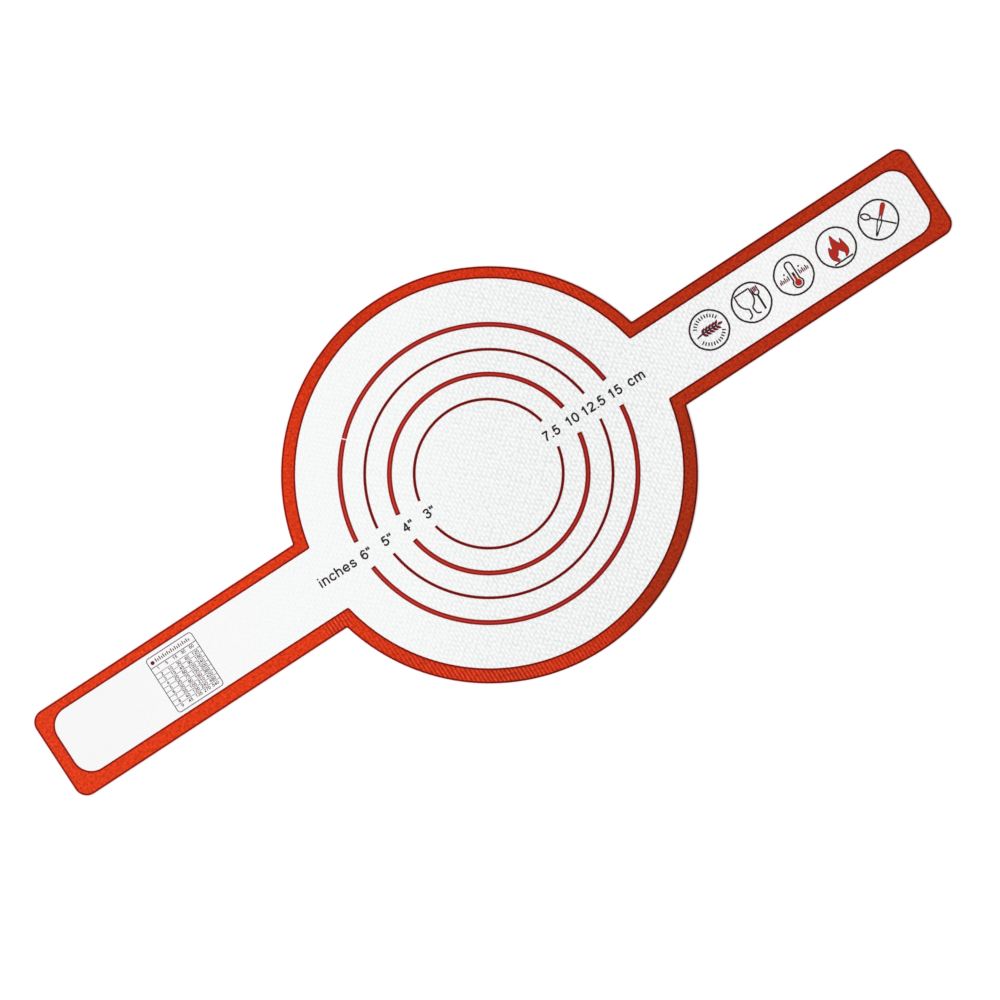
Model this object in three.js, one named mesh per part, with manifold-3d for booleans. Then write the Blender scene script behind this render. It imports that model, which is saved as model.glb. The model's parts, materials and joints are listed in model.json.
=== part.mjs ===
// Silicone bread sling: a round baking sheet with a lifting strap on each side.
// A woven glass cloth lies between two white silicone coats. A red silicone border wraps its
// cut edge, and four measuring rings are printed on the top coat. Each strap folds up along a
// line just outside the disc.
// Millimetres, +Z up. The origin is the disc's centre on the underside, and +X runs along the
// right strap.
import * as THREE from "three";
import { mergeVertices } from "three/addons/utils/BufferGeometryUtils.js";
import Module from "manifold-3d";

// Cut outline
const OVERALL_LENGTH = 526;
const DISC_DIAMETER = 210;
const STRAP_WIDTH = 50;
const END_CORNER_RADIUS = 7.5;
const NECK_FILLET = 0.8;

// Red border and the white window inside it
const BORDER_WIDTH = 7.3;
const WINDOW_CORNER_RADIUS = 9.5;
const RIM_WALL = 0.7;

// Layers, from the underside up
const BASE_COAT = 0.25;
const GLASS_CLOTH = 0.2;
const TOP_COAT = 0.25;
const PRINT = 0.08;

// Measuring rings, from the middle of one line to the middle of the line opposite
const FIRST_RING = 75;
const RING_STEP = 25;
const THIN_LINE = 1.4;
const THICK_LINE = 2.5;
const RINGS = [
  { name: "ring_7.5cm", line: THIN_LINE },
  { name: "ring_10cm", line: THICK_LINE },
  { name: "ring_12.5cm", line: THIN_LINE },
  { name: "ring_15cm", line: THICK_LINE },
];
const LABEL_GAP = 15;

// Fold lines and fits
const FOLD_OFFSET = 12.8;
const FOLD_GAP = 0.3;
const CLEARANCE = 0.3;

// Facets of the disc's edge and of a ring on each half, and half the facets of a corner
const DISC_STEPS = 54;
const RING_STEPS = 44;
const CORNER_STEPS = 4;

const HALF_TURN = Math.PI;
const QUARTER_TURN = Math.PI / 2;

// Levels of the layers
const CLOTH_BOTTOM = BASE_COAT;
const CLOTH_TOP = CLOTH_BOTTOM + GLASS_CLOTH;
const SHEET_TOP = CLOTH_TOP + TOP_COAT;

// A fillet in the neck touches the strap's edge at one distance from the centre, however far
// in the edge is moved.
const neckX = Math.sqrt(
  (DISC_DIAMETER / 2 + NECK_FILLET) ** 2 - (STRAP_WIDTH / 2 + NECK_FILLET) ** 2,
);
const foldX = neckX + FOLD_OFFSET;
const discEndX = foldX - FOLD_GAP / 2;
const strapStartX = foldX + FOLD_GAP / 2;

const silicone = (name, color, roughness) =>
  new THREE.MeshStandardMaterial({ name, color, roughness, metalness: 0 });
const MATERIALS = {
  whiteSilicone: silicone("white_silicone", 0xf1f2f0, 0.55),
  glassCloth: silicone("glass_cloth", 0xe6e3d8, 0.9),
  redSilicone: silicone("red_silicone", 0xd93a1a, 0.5),
  ringInk: silicone("ring_ink", 0xb92a22, 0.5),
};

const wasm = await Module();
wasm.setup();

// The cut edge of the sheet, moved inwards.
function cutEdge(inset) {
  return {
    radius: DISC_DIAMETER / 2 - inset,
    halfWidth: STRAP_WIDTH / 2 - inset,
    endX: OVERALL_LENGTH / 2 - inset,
    corner: END_CORNER_RADIUS - inset,
    fillet: NECK_FILLET + inset,
  };
}

// The inner edge of the border, moved inwards. Its necks are sharp.
function windowEdge(inset) {
  const inner = BORDER_WIDTH + inset;
  return {
    radius: DISC_DIAMETER / 2 - inner,
    halfWidth: STRAP_WIDTH / 2 - inner,
    endX: OVERALL_LENGTH / 2 - inner,
    corner: WINDOW_CORNER_RADIUS - inset,
    fillet: 0,
  };
}

// Points along the disc's upper edge, from the right end of its stub to the left one.
function discUpperEdge({ radius, halfWidth, fillet }, endX = discEndX) {
  const filletY = halfWidth + fillet;
  const filletX = Math.sqrt((radius + fillet) ** 2 - filletY ** 2);
  const neckAngle = Math.atan2(filletY, filletX);
  const path = new THREE.Path();
  path.moveTo(endX, halfWidth);
  path.lineTo(filletX, halfWidth);
  if (fillet > 0)
    path.absarc(filletX, filletY, fillet, -QUARTER_TURN, neckAngle - HALF_TURN, true);
  const rightPoints = path.getPoints(CORNER_STEPS);
  const leftPoints = rightPoints.map((p) => new THREE.Vector2(-p.x, p.y)).reverse();
  const arc = new THREE.EllipseCurve(0, 0, radius, radius, neckAngle, HALF_TURN - neckAngle);
  const arcPoints = arc.getPoints(DISC_STEPS).slice(1, -1);
  return [...rightPoints, ...arcPoints, ...leftPoints];
}

// Points round the free end of the right strap, from its lower edge to its upper one.
function strapEdge({ halfWidth, endX, corner }, startX = strapStartX) {
  const path = new THREE.Path();
  path.moveTo(startX, -halfWidth);
  path.lineTo(endX - corner, -halfWidth);
  path.absarc(endX - corner, corner - halfWidth, corner, -QUARTER_TURN, 0, false);
  path.lineTo(endX, halfWidth - corner);
  path.absarc(endX - corner, halfWidth - corner, corner, 0, QUARTER_TURN, false);
  path.lineTo(startX, halfWidth);
  return path.getPoints(CORNER_STEPS);
}

// The whole disc with its two stubs: the lower edge is the upper one turned half way round.
function discOutline(edge, endX) {
  const upper = discUpperEdge(edge, endX);
  return [...upper, ...upper.map((p) => p.clone().negate())];
}

// A band between two edges that run the same way.
const band = (outer, inner) => [...outer, ...inner.slice().reverse()];

function slab(outline, thickness) {
  return new THREE.ExtrudeGeometry(new THREE.Shape(outline), {
    depth: thickness,
    bevelEnabled: false,
    curveSegments: 1,
  });
}

function toSolid(geometry) {
  const bare = geometry.clone();
  bare.deleteAttribute("normal");
  bare.deleteAttribute("uv");
  const merged = mergeVertices(bare);
  return new wasm.Manifold(
    new wasm.Mesh({
      numProp: 3,
      vertProperties: merged.attributes.position.array,
      triVerts: new Uint32Array(merged.index.array),
    }),
  );
}

function toGeometry(solid) {
  const { vertProperties, triVerts } = solid.getMesh();
  const geometry = new THREE.BufferGeometry();
  geometry.setAttribute("position", new THREE.BufferAttribute(vertProperties, 3));
  geometry.setIndex(new THREE.BufferAttribute(triVerts, 1));
  geometry.computeVertexNormals();
  return geometry;
}

// A border is a full-height band with a channel cut in it for the edge of the glass cloth.
function border(bandOutline, channelOutline) {
  const channel = slab(channelOutline, GLASS_CLOTH).translate(0, 0, CLOTH_BOTTOM);
  return toGeometry(toSolid(slab(bandOutline, SHEET_TOP)).subtract(toSolid(channel)));
}

function piece(name, geometry, material, level = 0) {
  const mesh = new THREE.Mesh(geometry, material);
  mesh.name = name;
  mesh.position.z = level;
  return mesh;
}

// The upper half of one measuring ring, broken where its label stands.
function ringArc(diameter, line) {
  const start = Math.asin(LABEL_GAP / diameter);
  const arc = (radius) =>
    new THREE.EllipseCurve(0, 0, radius, radius, start, HALF_TURN - start).getPoints(RING_STEPS);
  return slab(band(arc((diameter + line) / 2), arc((diameter - line) / 2)), PRINT);
}

// White coat, glass cloth and white coat of one part of the sheet.
function layers(name, coatOutline, clothOutline) {
  const { whiteSilicone, glassCloth } = MATERIALS;
  return [
    piece(`${name}_base_coat`, slab(coatOutline, BASE_COAT), whiteSilicone),
    piece(`${name}_glass_cloth`, slab(clothOutline, GLASS_CLOTH), glassCloth, CLOTH_BOTTOM),
    piece(`${name}_top_coat`, slab(coatOutline, TOP_COAT), whiteSilicone, CLOTH_TOP),
  ];
}

function disc() {
  const group = new THREE.Group();
  const coat = discOutline(windowEdge(CLEARANCE));
  const cloth = discOutline(cutEdge(RIM_WALL + CLEARANCE));
  group.add(...layers("disc", coat, cloth));
  const outer = discUpperEdge(cutEdge(0));
  const inner = discUpperEdge(windowEdge(0));
  const channel = discOutline(cutEdge(RIM_WALL), foldX);
  for (const [side, turn] of [["upper", 0], ["lower", HALF_TURN]]) {
    const rim = border(band(outer, inner), channel);
    const edging = piece(`disc_border_${side}`, rim, MATERIALS.redSilicone);
    edging.rotation.z = turn;
    group.add(edging);
    for (const [i, { name, line }] of RINGS.entries()) {
      const arc = ringArc(FIRST_RING + i * RING_STEP, line);
      const ring = piece(`${name}_${side}`, arc, MATERIALS.ringInk, SHEET_TOP);
      ring.rotation.z = turn;
      group.add(ring);
    }
  }
  return group;
}

function strap(name, turn) {
  const group = new THREE.Group();
  group.rotation.z = turn;
  const coat = strapEdge(windowEdge(CLEARANCE));
  const cloth = strapEdge(cutEdge(RIM_WALL + CLEARANCE));
  group.add(...layers(name, coat, cloth));
  const outer = strapEdge(cutEdge(0));
  const inner = strapEdge(windowEdge(0));
  const channel = strapEdge(cutEdge(RIM_WALL), foldX);
  group.add(piece(`${name}_border`, border(band(outer, inner), channel), MATERIALS.redSilicone));
  return group;
}

const sling = new THREE.Group();
sling.name = "bread_sling";
sling.add(disc(), strap("right_strap", 0), strap("left_strap", HALF_TURN));

export default sling;
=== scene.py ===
"""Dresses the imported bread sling: woven white sheets, red border, measuring rings and print."""
import json
import math

import bmesh
import bpy
from bpy.props import FloatProperty, FloatVectorProperty, PointerProperty
from mathutils import Matrix, Vector, noise


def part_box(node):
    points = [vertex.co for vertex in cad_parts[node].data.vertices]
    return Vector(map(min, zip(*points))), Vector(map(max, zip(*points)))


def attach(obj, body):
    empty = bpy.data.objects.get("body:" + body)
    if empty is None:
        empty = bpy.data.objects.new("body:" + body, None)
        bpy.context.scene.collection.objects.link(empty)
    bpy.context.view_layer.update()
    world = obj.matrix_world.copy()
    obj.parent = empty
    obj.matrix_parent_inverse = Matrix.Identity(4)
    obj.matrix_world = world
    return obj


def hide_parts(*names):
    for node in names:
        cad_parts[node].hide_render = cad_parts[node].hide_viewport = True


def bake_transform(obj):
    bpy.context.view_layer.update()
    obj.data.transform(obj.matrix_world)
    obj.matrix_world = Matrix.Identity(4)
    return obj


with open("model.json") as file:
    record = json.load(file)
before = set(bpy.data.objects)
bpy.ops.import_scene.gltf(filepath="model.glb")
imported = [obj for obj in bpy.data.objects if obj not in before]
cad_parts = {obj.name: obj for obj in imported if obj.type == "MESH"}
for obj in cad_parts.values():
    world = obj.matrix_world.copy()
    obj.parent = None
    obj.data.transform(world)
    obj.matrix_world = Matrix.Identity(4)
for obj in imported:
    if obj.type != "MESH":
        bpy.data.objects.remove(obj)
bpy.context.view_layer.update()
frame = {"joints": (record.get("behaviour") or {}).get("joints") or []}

bl_info = {
    "name": "Bread Sling",
    "version": (1, 0, 0),
    "blender": (4, 5, 0),
    "location": "3D View > Sidebar > Bread Sling",
    "description": "Builds a woven silicone bread sling with a red border, measuring rings and print",
    "category": "Object",
}

MM = 0.001
CENTIMETRE = 10 * MM
HALF_INCH = 12.7 * MM
QUARTER_TURN = math.pi / 2
SIDES = {"right": 1, "left": -1}
HALVES = {"upper": 1, "lower": -1}

# How close points are merged, and how near to an outline a point counts as on it
MERGE = 0.001 * MM
ON_LINE = 10 * MERGE

# Places and sizes that the solids give
DISC_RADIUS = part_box("disc_border_upper")[1].y
STRAP_HALF_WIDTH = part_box("right_strap_border")[1].y
STRAP_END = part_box("right_strap_border")[1].x
SHEET_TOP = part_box("disc_top_coat")[1].z
PRINT_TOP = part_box("ring_15cm_upper")[1].z
FOLD_X = frame["joints"][0]["pos_m"][0]

# A strap's bend reaches this many times further outside the fold line than inside it
BEND_REACH = 3

# The coat thins from the left strap to the right edge of the disc, so the weave shows more. Along
# the same line the colours carry painted light falloff: the red, its dark lines and the rings are
# painted lighter and more orange at the left and darker at the right, and the white coat a little
# darker towards the right. Places along this line are in metres from the disc's centre.
WEAVE_AND_FALLOFF_AXIS = (0.866, -0.5, 0.0)
WEAVE_AND_FALLOFF_REACH = 0.26

# How much of the weave shows through the coat at places along that line
WEAVE_SHOWS = (
    (-0.26, 0.05), (-0.14, 0.1), (-0.085, 0.3), (-0.04, 0.5), (0.0, 0.9),
    (0.06, 1.0), (0.115, 0.9), (0.15, 0.55), (0.26, 1.0),
)

# Places where the border's red differs, in millimetres: the middle of each, the reach in which it
# differs most, the reach in which that fades, and how much it differs. In the ribbed places the
# red is so thin that the ribs of the weave show in it, as they do a little everywhere. The bright
# place is as bright as the left strap.
RIBBED_PLACES = (
    (-56, -84, 20, 95, 0.8),
    (-105, -21, 5, 10, 1.0),
    (75, 68, 18, 34, 0.35),
)
RIBS_EVERYWHERE = 0.06
DEEP_PLACES = (
    (70, -73, 45, 68, 1.0),
    (-45, -91, 5, 17, 1.0),
    (-20, 99, 8, 24, 0.45),
)
BRIGHT_PLACES = (
    (-115, -28, 10, 45, 0.9),
)

# How much of the weave's height goes along its ribs, how much crosses them as dots, and how much
# its depth varies from patch to patch
RIB_SHARE = 0.8
DOT_SHARE = 0.5
PATCH_SHARE = 0.5

# Facets of one quarter of the outline, of the border's rounded edges and of a ring's arc
END_STEPS = 3
CORNER_STEPS = 10
STRAP_STEPS = 66
NECK_STEPS = 4
DISC_STEPS = 56
ROUND_STEPS = 3
RING_STEPS = 120

# Smoothness of printed curves, of the table's figures and of a line's section, and the points
# that a circle is drawn through
CURVE_STEPS = 6
FIGURE_STEPS = 2
LINE_SIDES = 2
CIRCLE_POINTS = 8

# Edges that turn by more than the first are shaded as sharp, and the border's are rounded where
# they turn by more than the second
SHARP_ANGLE = math.radians(50)
CORNER_ANGLE = 1.0

# The most of a ring's width that the rim at one side takes, and that lies outside its crown
RIM_LIMIT = 0.3
CROWN_LIMIT = 0.4

# Where a straight run of a printed line gets a point beside each of its ends
FIRM_SHARES = (0.04, 0.96)

# How strongly silicone bends light, and how much the white coat and the colours shine
SILICONE_IOR = 1.41
WHITE_SHINE = 0.15
COLOUR_SHINE = 0.1

# Marks in a metre of each uneven part of a finish, and the detail in coarse and fine ones
WHITE_CLOUDS = 45.0
WHITE_PATCHES = 250.0
WHITE_SPECKS = 650.0
RED_CLOUDS = 60.0
RED_PATCHES = 620.0
RED_FLECKS = 850.0
RING_CLOUDS = 260.0
INK_CLOUDS = 420.0
GRAIN = 3200.0
COARSE = 3.0
FINE = 2.0

# How those marks tone the colour under them
WHITE_CLOUD_TONE = (0.8, 0.8, 0.78)
RED_HOLLOW_TONE = (0.52, 0.3, 0.2)
RED_FLECK_TONE = (0.72, 0.6, 0.5)
RED_CLOUD_TONE = (0.8, 0.72, 0.7)
RING_HOLLOW_TONE = (0.6, 0.55, 0.55)
RING_CLOUD_TONE = (0.75, 0.7, 0.7)
INK_CLOUD_TONE = (0.7, 0.66, 0.66)

# Depth of the grain and of the weave in the finishes, and how strongly they show
GRAIN_DEPTH = 0.012 * MM
GRAIN_SHOWS = 0.5
WEAVE_BUMP = 0.02 * MM
WEAVE_UNDER_INK = 0.6

# Middles of the centimetre labels, base lines, how far an inch label starts outside its circle,
# and where the units start
CM_PLACES = {"7.5": 37.5 * MM, "10": 50.0 * MM, "12.5": 62.5 * MM, "15": 75.57 * MM}
CM_BASE = -2.55 * MM
INCH_BASE = -2.41 * MM
UNIT_BASE = -2.62 * MM
INCH_START = 0.72 * MM
CM_UNIT = 83.1 * MM
INCH_UNIT = -102.46 * MM

# Half width, half height and corner radius of the table in millimetres, height of its head, first
# row and other rows, and width of its columns
TABLE_FRAME = (13.65, 15.8, 1.5)
TABLE_HEAD = 5.3
TABLE_FIRST = 3.55
TABLE_ROW = 2.7
TABLE_ROWS = 9
TABLE_COLUMN = 5.0

# Dot and ticks in the table's head, from its upper left corner in millimetres: the dot's place
# and radius, the number of ticks, their first place, step and foot, and their two tops in turn
HEAD_DOT = (2.5, 3.0, 1.05)
HEAD_TICKS = 18
TICK_FIRST = 4.7
TICK_STEP = 1.16
TICK_FOOT = 3.6
TICK_TOPS = (1.6, 2.3)

# Widths of the rule under the head, of the other rules and of a tick, as shares of the frame's
HEAD_RULE = 0.9
ROW_RULE = 0.6
TICK_LINE = 1.1

# Where a figure stands in its row, and what each column counts in: one, then the millilitres in
# two kinds of spoon, an ounce and a quarter cup
FIGURE_ALONG = 1.2
FIGURE_DOWN = 2.2
MEASURES = (1, 5, 15, 30, 60)

# How far the floor lies under the sling, what it glows more than its shade takes away, and how
# near the camera sees
FLOOR_DROP = 0.02 * MM
FLOOR_GLOW = 0.03
NEAREST = 0.01

# Strokes of the lettering in millimetres over the base line, and the width of each letter with
# its space. A point with a third value is a sharp one, and a stroke that ends where it starts is
# closed.
FIGURE = 3.87
ARCH = [(0.8, 2.0), (1.2, 3.0), (1.95, 3.3), (2.85, 2.95), (3.05, 2.1), (3.05, 0.0)]
LETTERS = {
    "0": (FIGURE, [[
        (1.93, 4.65), (0.85, 3.9), (0.6, 2.5), (0.85, 1.1), (1.93, 0.35), (3.0, 1.1), (3.25, 2.5),
        (3.0, 3.9), (1.93, 4.65),
    ]]),
    "1": (FIGURE, [[(0.8, 3.6), (1.6, 4.0), (2.1, 4.75)], [(2.15, 5.0), (2.15, 0.0)]]),
    "2": (FIGURE, [[
        (0.6, 3.55), (0.95, 4.35), (1.95, 4.65), (2.9, 4.3), (3.2, 3.5), (2.6, 2.4), (1.3, 1.3),
        (0.55, 0.4, True), (3.4, 0.4, True),
    ]]),
    "3": (FIGURE, [[
        (0.6, 3.7), (1.1, 4.4), (1.95, 4.65), (2.8, 4.3), (3.0, 3.65), (2.6, 2.95),
        (1.6, 2.7, True), (2.8, 2.45), (3.25, 1.5), (2.85, 0.7), (1.9, 0.35), (1.0, 0.65),
        (0.55, 1.4),
    ]]),
    "4": (FIGURE, [[(2.55, 0.0), (2.55, 4.7, True), (0.5, 1.5, True), (3.6, 1.5)]]),
    "5": (FIGURE, [[
        (3.2, 4.6), (1.15, 4.6, True), (0.8, 2.4, True), (1.35, 2.9), (2.1, 3.05), (3.0, 2.5),
        (3.25, 1.65), (2.9, 0.75), (1.9, 0.35), (1.0, 0.65), (0.6, 1.35),
    ]]),
    "6": (FIGURE, [[
        (3.1, 3.9), (2.6, 4.5), (1.9, 4.65), (0.95, 3.9), (0.6, 2.4), (0.85, 1.1), (1.95, 0.35),
        (3.0, 0.85), (3.27, 1.7), (2.9, 2.6), (2.0, 2.95), (1.1, 2.5), (0.7, 1.8),
    ]]),
    "7": (FIGURE, [[(0.5, 4.6), (3.3, 4.6, True), (2.2, 2.8), (1.6, 1.3), (1.4, 0.0)]]),
    "8": (FIGURE, [
        [
            (1.93, 4.65), (1.0, 4.2), (0.85, 3.65), (1.1, 3.0), (1.93, 2.7), (2.75, 3.0),
            (3.0, 3.65), (2.85, 4.2), (1.93, 4.65),
        ],
        [
            (1.93, 2.7), (0.95, 2.2), (0.6, 1.5), (0.95, 0.65), (1.93, 0.35), (2.95, 0.65),
            (3.27, 1.5), (2.9, 2.2), (1.93, 2.7),
        ],
    ]),
    "9": (FIGURE, [[
        (0.77, 1.1), (1.27, 0.5), (1.97, 0.35), (2.92, 1.1), (3.27, 2.6), (3.02, 3.9),
        (1.92, 4.65), (0.87, 4.15), (0.6, 3.3), (0.97, 2.4), (1.87, 2.05), (2.77, 2.5), (3.17, 3.2),
    ]]),
    ".": (1.93, [[(0.95, 0.0), (0.95, 0.75)]]),
    '"': (2.4, [[(0.65, 5.0), (0.65, 3.4)], [(1.75, 5.0), (1.75, 3.4)]]),
    "c": (3.55, [[
        (3.0, 2.5), (2.5, 3.15), (1.75, 3.3), (0.85, 2.7), (0.6, 1.8), (0.85, 0.9), (1.75, 0.35),
        (2.55, 0.5), (3.05, 1.2),
    ]]),
    "m": (5.8, [
        [(0.8, 3.6), (0.8, 0.0)],
        [(0.8, 2.0), (1.15, 3.0), (1.8, 3.3), (2.6, 2.95), (2.8, 2.1), (2.8, 0.0)],
        [(2.8, 2.0), (3.15, 3.0), (3.8, 3.3), (4.6, 2.95), (4.8, 2.1), (4.8, 0.0)],
    ]),
    "i": (1.75, [[(0.85, 3.6), (0.85, 0.0)], [(0.85, 5.0), (0.85, 4.3)]]),
    "n": (3.95, [[(0.8, 3.6), (0.8, 0.0)], ARCH]),
    "h": (3.95, [[(0.8, 5.0), (0.8, 0.0)], ARCH]),
    "e": (3.95, [[
        (0.65, 1.8), (3.15, 1.8, True), (2.85, 2.8), (1.95, 3.3), (0.95, 2.8), (0.6, 1.8),
        (0.95, 0.8), (1.95, 0.35), (2.75, 0.55), (3.15, 1.1),
    ]]),
    "s": (3.55, [[
        (2.85, 2.55), (2.45, 3.15), (1.75, 3.3), (1.0, 3.1), (0.8, 2.6), (1.2, 2.1), (2.2, 1.75),
        (2.8, 1.4), (2.85, 0.95), (2.4, 0.45), (1.75, 0.35), (0.95, 0.55), (0.65, 1.15),
    ]]),
}


# Properties

def number(name, description, default, **kind):
    return FloatProperty(name=name, description=description, default=default, **kind)


def length(name, description, default):
    return number(name, description, default, unit="LENGTH")


def angle(name, description, degrees):
    return number(name, description, math.radians(degrees), subtype="ANGLE")


def triple(name, description, default, subtype, **limits):
    return FloatVectorProperty(
        name=name, description=description, default=default, size=3, subtype=subtype, **limits
    )


def colour(name, description, default):
    return triple(name, description, default, "COLOR", min=0.0, max=1.0)


def linear(red, green, blue):
    """A colour written as on a screen, from 0 to 255, as the linear values that shaders take."""
    return tuple(((c / 255 + 0.055) / 1.055) ** 2.4 for c in (red, green, blue))


class SlingSizes(bpy.types.PropertyGroup):
    """Sizes of the sheet, its border and its print."""

    border_width: length("Border width", "From the cut edge to the white window", 7.3 * MM)
    end_corner: length("End corner", "Radius of the strap's outer corners", 6.8 * MM)
    window_corner: length("Window corner", "Radius of the window's corners", 9.9 * MM)
    neck_fillet: length("Neck fillet", "Radius where a strap leaves the disc", 0.8 * MM)
    window_fillet: length("Window fillet", "Radius of the window where a strap leaves", 1.2 * MM)
    border_line: length("Border line", "Width of the dark line along both edges", 0.84 * MM)
    rim_fade: length("Rim fade", "Width over which a dark line is redder at the edge", 0.4 * MM)
    line_fade: length("Line fade", "Width over which a dark line fades into the red", 0.3 * MM)
    border_rise: length("Border rise", "How far the red stands above the sheet", 0.03 * MM)
    border_round: length("Border rounding", "Radius of the border's edges", 0.12 * MM)
    tuck: length("Tuck", "How far the white sheet runs under the border", 2.0 * MM)
    weave_along: length("Weave along", "Pitch of the yarns along the straps", 1.85 * MM)
    weave_across: length("Weave across", "Pitch of the yarns across the straps", 1.65 * MM)
    weave_depth: length("Weave depth", "Depth of the weave in the coat", 0.045 * MM)
    weave_patch: length("Weave patch", "Size of the patches in which the weave varies", 4.0 * MM)
    seam_flat: length("Seam flat", "Width along a seam where the weave is level", 0.06 * MM)
    window_sway: length("Window sway", "How far the disc's window is out of round", 0.45 * MM)
    print_along: length("Print shift along", "How far the print lies off the cut", 0.3 * MM)
    print_across: length("Print shift across", "How far the print lies off the cut", 0.7 * MM)
    print_turn: angle("Print turn", "How far the print is turned on the cut", -0.17)
    thin_line: length("Thin line", "Width of the 7.5 and 12.5 cm rings", 1.5 * MM)
    thick_line: length("Thick line", "Width of the 10 and 15 cm rings", 2.58 * MM)
    ring_line: length("Ring line", "Width of the dark line along a ring's edges", 0.66 * MM)
    nick_width: length("Nick", "Width of the scratch across the 15 cm ring", 0.55 * MM)
    nick_angle: angle("Nick angle", "Place of the scratch, counted from the right strap", 132.8)
    label_gap: length("Label gap", "Gap in a ring where its label stands", 15.0 * MM)
    label_line: length("Label line", "Width of the strokes of the ring labels", 0.97 * MM)
    unit_scale: number("Unit scale", "Size of the unit words beside the figures", 1.08)
    figure_scale: number("Figure scale", "Size of the figures in the table", 0.34)
    figure_line: length("Figure line", "Width of the strokes of the table's figures", 0.38 * MM)
    first_roundel: length("First roundel", "Place of the first one along the strap", 132.0 * MM)
    roundel_step: length("Roundel step", "From one pictogram to the next", 25.06 * MM)
    roundel_across: length("Roundel across", "Place of the roundels across the strap", -0.17 * MM)
    roundel_radius: length("Roundel radius", "Radius of the circle round a pictogram", 9.97 * MM)
    roundel_line: length("Roundel line", "Width of the circle round a pictogram", 1.0 * MM)
    sign_line: length("Sign line", "Width of the lines of a pictogram", 0.88 * MM)
    table_along: length("Table along", "Place of the table along the strap", -183.85 * MM)
    table_across: length("Table across", "Place of the table across the strap", -0.15 * MM)
    table_line: length("Table line", "Width of the table's lines", 0.6 * MM)
    ink_height: length("Ink height", "Height of printed lines above the sheet", 0.05 * MM)


class SlingColours(bpy.types.PropertyGroup):
    """Colours of the silicone and its inks."""

    # The coat's colours along the sling paint light falloff
    white_left: colour("White left", "Coat at the left strap", linear(245, 245, 245))
    white_middle: colour("White middle", "Coat in the middle of the disc", linear(250, 252, 251))
    white_neck: colour("White neck", "Coat where the right strap leaves", linear(251, 251, 251))
    white_right: colour("White right", "Coat at the right strap", linear(249, 249, 249))
    # Partly painted shade in the weave's hollows
    hollow_shade_tone: colour("Hollow tone", "How hollows of the weave tone the coat", (0.75, 0.76, 0.76))
    # The border's reds along the sling paint light falloff
    red_left: colour("Red left", "Border at the left strap", linear(235, 62, 16))
    red_middle: colour("Red middle", "Border at the middle of the disc", linear(219, 53, 14))
    red_right: colour("Red right", "Border at the right strap", linear(187, 49, 16))
    red_crest: colour("Red crest", "Ribs that show in the border", linear(248, 76, 40))
    deep_tone: colour("Deep tone", "How the red tones where it is deep", (0.8, 0.92, 0.95))
    # The dark line's colours along the sling paint light falloff
    edge_left: colour("Edge left", "Dark line of the border at the left", linear(122, 13, 7))
    edge_right: colour("Edge right", "Dark line of the border at the right", linear(84, 6, 5))
    # The rings' reds along the sling paint light falloff
    ring_left: colour("Ring left", "Middle of the thick rings at the left", linear(202, 54, 44))
    ring_right: colour("Ring right", "Middle of the thick rings at the right", linear(178, 42, 35))
    ring_dark: colour("Ring dark", "Thin rings, and edges of thick ones", linear(92, 7, 8))
    charcoal: colour("Charcoal", "Letters, figures and pictograms", linear(52, 38, 40))
    mark_red: colour("Mark red", "Red marks in the pictograms", linear(178, 43, 31))
    maroon: colour("Maroon", "Dark red marks in the pictograms and the table", linear(104, 26, 44))
    table_grey: colour("Table grey", "Lines of the table", linear(112, 106, 116))


class SlingStage(bpy.types.PropertyGroup):
    """Light, floor and camera."""

    key_strength: number("Key", "Strength of the soft key light", 1.6)
    key_softness: angle("Key softness", "Angle that the key light fills", 28)
    key_height: angle("Key height", "Height of the key light above the floor", 42)
    key_side: angle("Key side", "Side that the key light comes from, counted from +X", 165)
    sky_strength: number("Sky", "Strength of the light from all sides", 0.68)
    floor_shade: number("Floor shade", "Share of the floor that takes shadows", 0.6)
    floor_size: length("Floor size", "Side of the floor", 12.0)
    lens: number("Lens", "Focal length in millimetres", 54.0, unit="CAMERA")
    sensor: number("Sensor", "Sensor width in millimetres", 36.0, unit="CAMERA")
    camera_place: triple(
        "Camera place", "Where the camera stands",
        (17.37 * MM, -16.82 * MM, 754.97 * MM), "TRANSLATION",
    )
    camera_turn: triple(
        "Camera turn", "How the camera is turned",
        tuple(math.radians(a) for a in (-0.605, 1.378, -33.275)), "EULER",
    )


# Outlines

class Pen:
    """Draws a line by drawing out one vertex along straight runs and spinning it round arcs."""

    def __init__(self, bm, start):
        self.bm = bm
        self.tip = bm.verts.new((*start, 0.0))

    def line(self, end, steps):
        step = (Vector((*end, 0.0)) - self.tip.co) / steps
        for _ in range(steps):
            self.tip = bmesh.ops.extrude_vert_indiv(self.bm, verts=[self.tip])["verts"][0]
            self.tip.co += step

    def arc(self, centre, turn, steps):
        spun = bmesh.ops.spin(
            self.bm, geom=[self.tip], cent=(*centre, 0.0), axis=(0, 0, 1), angle=turn, steps=steps
        )
        self.tip = next(v for v in spun["geom_last"] if isinstance(v, bmesh.types.BMVert))


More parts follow.
